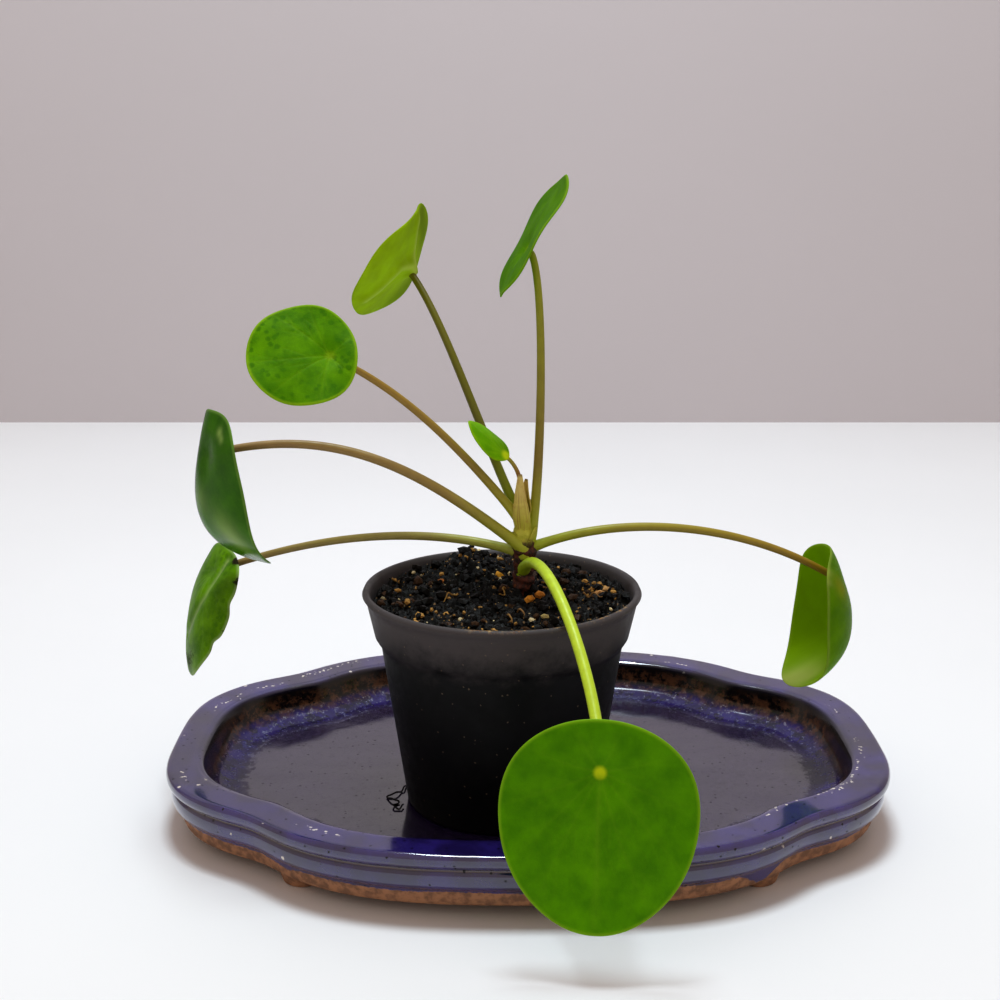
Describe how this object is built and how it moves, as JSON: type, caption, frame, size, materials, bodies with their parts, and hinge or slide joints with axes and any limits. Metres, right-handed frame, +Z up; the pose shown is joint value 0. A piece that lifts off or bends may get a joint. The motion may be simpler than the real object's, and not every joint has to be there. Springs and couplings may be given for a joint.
{
  "type": "potted pilea plant",
  "caption": "Young round-leaved money plant in a plain black nursery pot, standing on a glazed four-lobed drip tray on low feet.",
  "frame": {"origin": "middle of the bounding box's bottom face, on the surface that the tray's feet stand on", "axes": "+Z up, +X along the tray's longer side, -Y towards the front leaf"},
  "size_m": [0.162, 0.1386, 0.1421],
  "materials": {
    "glaze": "dark cobalt gloss glaze over tan clay",
    "plastic": "black moulded plastic, satin, dusty at the rim",
    "soil": "damp dark potting mix with pale crumbs",
    "bark": "rough brown stem with dry scales",
    "stalk": "smooth olive to purple-brown stalk",
    "leaf": "fleshy green blade, glossy above and matt below",
    "sprout": "young bright green leaf",
    "paper": "thin dry papery sheath"
  },
  "bodies": {
    "root": {"tray": "glaze", "pot": "plastic", "soil": "soil", "stem": "bark", "petiole_upper_right": "stalk", "blade_upper_right": "leaf", "petiole_upper_middle": "stalk", "blade_upper_middle": "leaf", "petiole_upper_left": "stalk", "blade_upper_left": "leaf", "petiole_left": "stalk", "blade_left": "leaf", "petiole_lower_left": "stalk", "blade_lower_left": "leaf", "petiole_right": "stalk", "blade_right": "leaf", "petiole_front": "stalk", "blade_front": "leaf", "petiole_young": "sprout", "blade_young": "sprout", "stipule_front": "paper", "stipule_back": "paper"}
  },
  "joints": []
}
